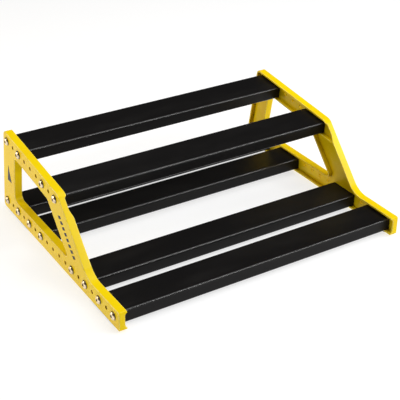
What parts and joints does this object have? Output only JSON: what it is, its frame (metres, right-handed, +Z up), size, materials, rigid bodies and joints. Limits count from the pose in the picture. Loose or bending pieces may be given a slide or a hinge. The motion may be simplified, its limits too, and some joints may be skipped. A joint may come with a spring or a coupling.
{
  "type": "slatted riser",
  "caption": "low two-tier slatted riser with two triangular side frames, black slats across them and rows of fixing holes for moving the slats",
  "frame": {"origin": "on the surface that the part stands on, under the middle of its length and width", "axes": "+X along the slats from the left side frame to the right one, +Y from the low front to the high back, +Z up"},
  "size_m": [0.4624, 0.3722, 0.1374],
  "materials": {
    "frame_paint": "satin yellow coating",
    "slat_black": "satin black anodised",
    "screw_steel": "bright",
    "foot_rubber": "matt"
  },
  "bodies": {
    "root": {"side_frame_left": "frame_paint", "side_frame_right": "frame_paint", "slat_lower_front": "slat_black", "slat_lower_second": "slat_black", "slat_lower_third": "slat_black", "slat_lower_rear": "slat_black", "slat_upper_front": "slat_black", "slat_upper_rear": "slat_black", "screw_lower_front_left_front": "screw_steel", "screw_lower_front_left_rear": "screw_steel", "screw_lower_front_right_front": "screw_steel", "screw_lower_front_right_rear": "screw_steel", "screw_lower_second_left_front": "screw_steel", "screw_lower_second_left_rear": "screw_steel", "screw_lower_second_right_front": "screw_steel", "screw_lower_second_right_rear": "screw_steel", "screw_lower_third_left_front": "screw_steel", "screw_lower_third_left_rear": "screw_steel", "screw_lower_third_right_front": "screw_steel", "screw_lower_third_right_rear": "screw_steel", "screw_lower_rear_left_front": "screw_steel", "screw_lower_rear_left_rear": "screw_steel", "screw_lower_rear_right_front": "screw_steel", "screw_lower_rear_right_rear": "screw_steel", "screw_upper_front_left_front": "screw_steel", "screw_upper_front_left_rear": "screw_steel", "screw_upper_front_right_front": "screw_steel", "screw_upper_front_right_rear": "screw_steel", "screw_upper_rear_left_front": "screw_steel", "screw_upper_rear_left_rear": "screw_steel", "screw_upper_rear_right_front": "screw_steel", "screw_upper_rear_right_rear": "screw_steel", "foot_left_front": "foot_rubber", "foot_left_rear": "foot_rubber", "foot_right_front": "foot_rubber", "foot_right_rear": "foot_rubber"}
  },
  "joints": []
}
